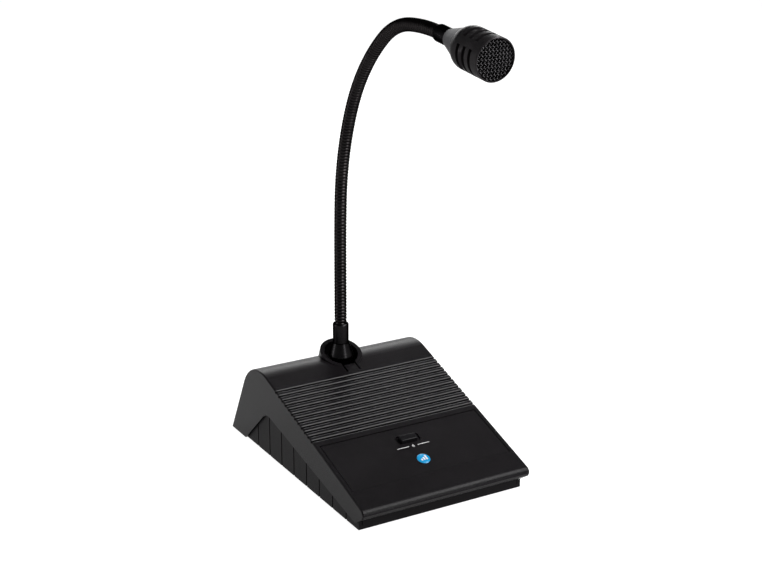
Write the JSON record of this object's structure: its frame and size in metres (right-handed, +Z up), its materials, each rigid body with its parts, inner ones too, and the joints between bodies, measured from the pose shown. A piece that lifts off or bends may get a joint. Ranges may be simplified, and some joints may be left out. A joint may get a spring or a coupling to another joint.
{
  "type": "gooseneck desk microphone",
  "caption": "Desk microphone: wedge-shaped ribbed base with a push-to-talk button, a bendable gooseneck and a slotted round microphone head.",
  "frame": {"origin": "centre of the base's footprint, on the surface that its anti-slip pad rests on", "axes": "+Z up; -Y to the front, where the nose of the wedge and the microphone head point; +X to the right seen from the front"},
  "size_m": [0.1262, 0.234, 0.317],
  "materials": {
    "cover_plastic": "fine-textured black moulded plastic",
    "shell_plastic": "fine-textured black moulded plastic",
    "fascia_plastic": "smooth matt black plastic",
    "button_plastic": "satin black plastic",
    "badge_blue": "glossy blue",
    "print_white": "white print",
    "pad_rubber": "black rubber",
    "zinc_steel": "zinc-plated steel",
    "board_green": "solder-masked laminate",
    "can_aluminium": "bare aluminium can",
    "part_black": "black moulded component",
    "header_white": "natural nylon",
    "core_iron": "varnished laminations",
    "lead_grey": "grey sheathed lead",
    "contact_brass": "tinned brass",
    "jack_nickel": "nickel-plated brass",
    "neck_black": "satin black enamel",
    "tube_black": "black ribbed flexible tube",
    "cone_grey": "matt grey enamel",
    "head_black": "matt black anodised",
    "grille_black": "black woven wire",
    "foam_black": "open-cell foam",
    "screen_black": "fine acoustic cloth",
    "capsule_metal": "turned aluminium",
    "magnet_metal": "plated magnet",
    "spring_steel": "spring steel"
  },
  "bodies": {
    "base": {"top_cover": "cover_plastic", "bottom_shell": "shell_plastic", "fascia_plate": "fascia_plastic", "badge_disc": "badge_blue", "button_legend": "print_white", "switch_body": "part_black", "button_spring": "spring_steel", "circuit_board": "board_green", "filter_capacitors": "can_aluminium", "audio_transformer": "core_iron", "amplifier_chip": "part_black", "lead_headers": "header_white", "board_screws": "zinc_steel", "ballast_plate": "zinc_steel", "ballast_screws": "zinc_steel", "case_screws": "zinc_steel", "anti_slip_pad": "pad_rubber", "jack_body": "part_black", "jack_washer": "jack_nickel", "jack_nut": "jack_nickel", "jack_contacts": "contact_brass", "neck_lead": "lead_grey", "jack_lead": "lead_grey", "neck_stem": "neck_black", "neck_cone": "neck_black", "neck_sleeve": "neck_black", "neck_washer": "zinc_steel", "neck_lock_nut": "zinc_steel", "gooseneck_root": "tube_black"},
    "button": {"talk_button": "button_plastic", "switch_plunger": "header_white"},
    "neck_1": {"gooseneck_link_1": "tube_black"},
    "neck_2": {"gooseneck_link_2": "tube_black"},
    "neck_3": {"gooseneck_link_3": "tube_black"},
    "neck_4": {"gooseneck_link_4": "tube_black"},
    "neck_5": {"gooseneck_link_5": "tube_black"},
    "neck_6": {"gooseneck_link_6": "tube_black"},
    "neck_7": {"gooseneck_link_7": "tube_black"},
    "head": {"gooseneck_link_8": "tube_black", "upper_ferrule": "neck_black", "rear_cone": "cone_grey", "head_shell": "head_black", "front_grille": "grille_black", "foam_disc": "foam_black", "slot_screen": "screen_black", "capsule_body": "capsule_metal", "capsule_cap": "part_black", "capsule_magnet": "magnet_metal", "front_shock_ring": "pad_rubber", "rear_shock_ring": "pad_rubber", "capsule_terminals": "contact_brass", "head_lead": "lead_grey", "cone_set_screw": "neck_black"}
  },
  "joints": [
    {"name": "neck_side_low", "type": "hinge", "parent": "base", "child": "neck_1", "pos_m": [0, 0.04677, 0.1048], "axis": [0, 1, 0.0035], "range_deg": [-20, 20]},
    {"name": "neck_bend_1", "type": "hinge", "parent": "neck_1", "child": "neck_2", "pos_m": [0, 0.04658, 0.1393], "axis": [1, 0, 0], "range_deg": [-20, 14]},
    {"name": "neck_bend_2", "type": "hinge", "parent": "neck_2", "child": "neck_3", "pos_m": [0, 0.04556, 0.17378], "axis": [1, 0, 0], "range_deg": [-20, 14]},
    {"name": "neck_side_mid", "type": "hinge", "parent": "neck_3", "child": "neck_4", "pos_m": [0, 0.04062, 0.20788], "axis": [0, 0.9724, 0.2334], "range_deg": [-20, 20]},
    {"name": "neck_bend_3", "type": "hinge", "parent": "neck_4", "child": "neck_5", "pos_m": [0, 0.02968, 0.24055], "axis": [1, 0, 0], "range_deg": [-20, 14]},
    {"name": "neck_bend_4", "type": "hinge", "parent": "neck_5", "child": "neck_6", "pos_m": [0, 0.01197, 0.27004], "axis": [1, 0, 0], "range_deg": [-20, 14]},
    {"name": "neck_bend_5", "type": "hinge", "parent": "neck_6", "child": "neck_7", "pos_m": [0, -0.01248, 0.29427], "axis": [1, 0, 0], "range_deg": [-20, 14]},
    {"name": "neck_side_top", "type": "hinge", "parent": "neck_7", "child": "head", "pos_m": [0, -0.04401, 0.30717], "axis": [0, 0.1132, 0.9936], "range_deg": [-20, 20]},
    {"name": "talk_button_press", "type": "slide", "parent": "base", "child": "button", "axis": [0, 0.299, -0.9542], "range_m": [0, 0.0015], "stiffness_N_per_m": 500, "springref_m": -0.001, "deforming": ["button_spring"]}
  ]
}
